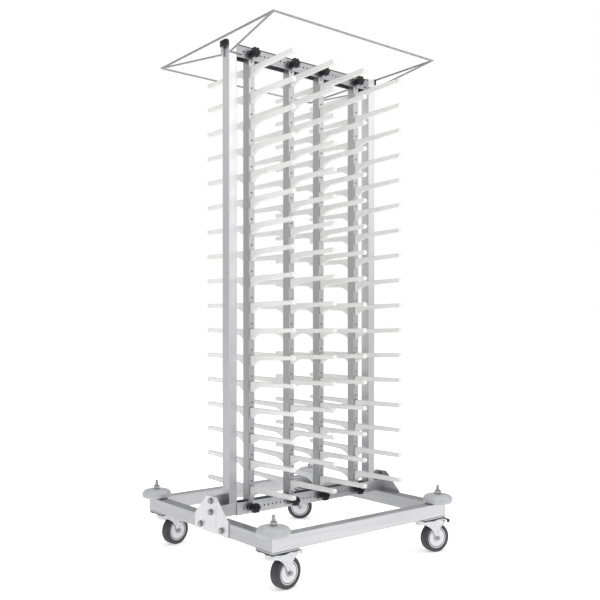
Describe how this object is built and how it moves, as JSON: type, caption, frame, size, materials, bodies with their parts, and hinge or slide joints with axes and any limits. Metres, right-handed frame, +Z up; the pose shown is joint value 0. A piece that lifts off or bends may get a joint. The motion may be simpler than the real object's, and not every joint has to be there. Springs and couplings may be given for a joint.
{
  "type": "mobile plate rack",
  "caption": "Wheeled rack for plated meals: a low tube base with swivel casters and roller bumpers carries slotted uprights with cantilever arms on both sides, under a wire top frame.",
  "frame": {"origin": "on the floor under the middle of the base", "axes": "+X along the spine to the viewer's right, -Y to the front with the knobs, +Z up"},
  "size_m": [0.8583, 0.833, 1.793],
  "materials": {
    "frame_steel": "satin stainless sheet and tube",
    "zinc": "bright zinc plate",
    "bright_steel": "polished fasteners",
    "wire": "bright drawn rod",
    "pedal_steel": "bright zinc plate",
    "white_plastic": "white moulded plastic",
    "black_plastic": "black moulded plastic",
    "hub_plastic": "light grey moulded plastic",
    "tyre_rubber": "dark grey rubber tread",
    "bumper_rubber": "light grey non-marking rubber"
  },
  "bodies": {
    "frame": {"front_beam": "frame_steel", "back_beam": "frame_steel", "left_beam": "frame_steel", "right_beam": "frame_steel", "corner_plates": "frame_steel", "caster_plates": "zinc", "frame_bolts": "bright_steel", "bumper_studs": "bright_steel", "bumper_nuts": "bright_steel", "gussets": "frame_steel", "spine_stubs": "frame_steel", "foot_brackets": "frame_steel", "left_post": "frame_steel", "right_post": "frame_steel", "bottom_rail": "frame_steel", "top_rail": "frame_steel", "cover_rods": "wire", "cover_left_end": "wire", "cover_right_end": "wire", "pegs": "bright_steel", "peg_holders": "black_plastic"},
    "fork_front_left": {"fork_front_left": "zinc", "axle_front_left": "bright_steel"},
    "wheel_front_left": {"hub_front_left": "hub_plastic", "tyre_front_left": "tyre_rubber"},
    "bumper_front_left": {"bumper_front_left": "bumper_rubber"},
    "pedal_front_left": {"pedal_front_left": "pedal_steel"},
    "fork_back_left": {"fork_back_left": "zinc", "axle_back_left": "bright_steel"},
    "wheel_back_left": {"hub_back_left": "hub_plastic", "tyre_back_left": "tyre_rubber"},
    "bumper_back_left": {"bumper_back_left": "bumper_rubber"},
    "fork_front_right": {"fork_front_right": "zinc", "axle_front_right": "bright_steel"},
    "wheel_front_right": {"hub_front_right": "hub_plastic", "tyre_front_right": "tyre_rubber"},
    "bumper_front_right": {"bumper_front_right": "bumper_rubber"},
    "pedal_front_right": {"pedal_front_right": "black_plastic"},
    "fork_back_right": {"fork_back_right": "zinc", "axle_back_right": "bright_steel"},
    "wheel_back_right": {"hub_back_right": "hub_plastic", "tyre_back_right": "tyre_rubber"},
    "bumper_back_right": {"bumper_back_right": "bumper_rubber"},
    "upright_a": {"upright_a": "frame_steel", "arms_a": "white_plastic"},
    "knob_a_low": {"knob_a_low": "black_plastic"},
    "knob_a_top": {"knob_a_top": "black_plastic"},
    "upright_b": {"upright_b": "frame_steel", "arms_b": "white_plastic"},
    "knob_b_low": {"knob_b_low": "black_plastic"},
    "knob_b_top": {"knob_b_top": "black_plastic"},
    "upright_c": {"upright_c": "frame_steel", "arms_c": "white_plastic"},
    "knob_c_low": {"knob_c_low": "black_plastic"},
    "knob_c_top": {"knob_c_top": "black_plastic"},
    "upright_d": {"upright_d": "frame_steel", "arms_d": "white_plastic"},
    "knob_d_low": {"knob_d_low": "black_plastic"},
    "knob_d_top": {"knob_d_top": "black_plastic"}
  },
  "joints": [
    {"name": "swivel_front_left", "type": "hinge", "parent": "frame", "child": "fork_front_left", "pos_m": [-0.342, -0.3375, 0.117], "axis": [0, 0, 1], "continuous": true},
    {"name": "spin_front_left", "type": "hinge", "parent": "fork_front_left", "child": "wheel_front_left", "pos_m": [-0.30708, -0.33506, 0.052], "axis": [-0.0698, 0.9976, 0], "continuous": true},
    {"name": "brake_front_left", "type": "hinge", "parent": "fork_front_left", "child": "pedal_front_left", "pos_m": [-0.28215, -0.33331, 0.1135], "axis": [-0.0698, 0.9976, 0], "range_deg": [0, 18]},
    {"name": "roll_front_left", "type": "hinge", "parent": "frame", "child": "bumper_front_left", "pos_m": [-0.375, -0.3625, 0.197], "axis": [0, 0, 1], "continuous": true},
    {"name": "swivel_back_left", "type": "hinge", "parent": "frame", "child": "fork_back_left", "pos_m": [-0.342, 0.3375, 0.117], "axis": [0, 0, 1], "continuous": true},
    {"name": "spin_back_left", "type": "hinge", "parent": "fork_back_left", "child": "wheel_back_left", "pos_m": [-0.30743, 0.34297, 0.052], "axis": [-0.1564, 0.9877, 0], "continuous": true},
    {"name": "roll_back_left", "type": "hinge", "parent": "frame", "child": "bumper_back_left", "pos_m": [-0.375, 0.3625, 0.197], "axis": [0, 0, 1], "continuous": true},
    {"name": "swivel_front_right", "type": "hinge", "parent": "frame", "child": "fork_front_right", "pos_m": [0.342, -0.3375, 0.117], "axis": [0, 0, 1], "continuous": true},
    {"name": "spin_front_right", "type": "hinge", "parent": "fork_front_right", "child": "wheel_front_right", "pos_m": [0.37596, -0.34597, 0.052], "axis": [0.2419, 0.9703, 0], "continuous": true},
    {"name": "brake_front_right", "type": "hinge", "parent": "fork_front_right", "child": "pedal_front_right", "pos_m": [0.40022, -0.35202, 0.1135], "axis": [0.2419, 0.9703, 0], "range_deg": [0, 18]},
    {"name": "roll_front_right", "type": "hinge", "parent": "frame", "child": "bumper_front_right", "pos_m": [0.375, -0.3625, 0.197], "axis": [0, 0, 1], "continuous": true},
    {"name": "swivel_back_right", "type": "hinge", "parent": "frame", "child": "fork_back_right", "pos_m": [0.342, 0.3375, 0.117], "axis": [0, 0, 1], "continuous": true},
    {"name": "spin_back_right", "type": "hinge", "parent": "fork_back_right", "child": "wheel_back_right", "pos_m": [0.31519, 0.36, 0.052], "axis": [-0.6428, -0.766, 0], "continuous": true},
    {"name": "roll_back_right", "type": "hinge", "parent": "frame", "child": "bumper_back_right", "pos_m": [0.375, 0.3625, 0.197], "axis": [0, 0, 1], "continuous": true},
    {"name": "slide_a", "type": "slide", "parent": "frame", "child": "upright_a", "axis": [1, 0, 0], "range_m": [-0.035, 0.0525]},
    {"name": "turn_a_low", "type": "hinge", "parent": "frame", "child": "knob_a_low", "pos_m": [-0.245, -0.07, 0.1995], "axis": [0, -1, 0], "range_deg": [0, 180]},
    {"name": "turn_a_top", "type": "hinge", "parent": "frame", "child": "knob_a_top", "pos_m": [-0.245, -0.07, 1.757], "axis": [0, -1, 0], "range_deg": [0, 180]},
    {"name": "slide_b", "type": "slide", "parent": "frame", "child": "upright_b", "axis": [1, 0, 0], "range_m": [-0.035, 0.035]},
    {"name": "turn_b_low", "type": "hinge", "parent": "frame", "child": "knob_b_low", "pos_m": [-0.07, -0.07, 0.1995], "axis": [0, -1, 0], "range_deg": [0, 180]},
    {"name": "turn_b_top", "type": "hinge", "parent": "frame", "child": "knob_b_top", "pos_m": [-0.07, -0.07, 1.757], "axis": [0, -1, 0], "range_deg": [0, 180]},
    {"name": "slide_c", "type": "slide", "parent": "frame", "child": "upright_c", "axis": [1, 0, 0], "range_m": [-0.035, 0.035]},
    {"name": "turn_c_low", "type": "hinge", "parent": "frame", "child": "knob_c_low", "pos_m": [0.07, -0.07, 0.1995], "axis": [0, -1, 0], "range_deg": [0, 180]},
    {"name": "turn_c_top", "type": "hinge", "parent": "frame", "child": "knob_c_top", "pos_m": [0.07, -0.07, 1.757], "axis": [0, -1, 0], "range_deg": [0, 180]},
    {"name": "slide_d", "type": "slide", "parent": "frame", "child": "upright_d", "axis": [1, 0, 0], "range_m": [-0.0525, 0.035]},
    {"name": "turn_d_low", "type": "hinge", "parent": "frame", "child": "knob_d_low", "pos_m": [0.245, -0.07, 0.1995], "axis": [0, -1, 0], "range_deg": [0, 180]},
    {"name": "turn_d_top", "type": "hinge", "parent": "frame", "child": "knob_d_top", "pos_m": [0.245, -0.07, 1.757], "axis": [0, -1, 0], "range_deg": [0, 180]}
  ]
}
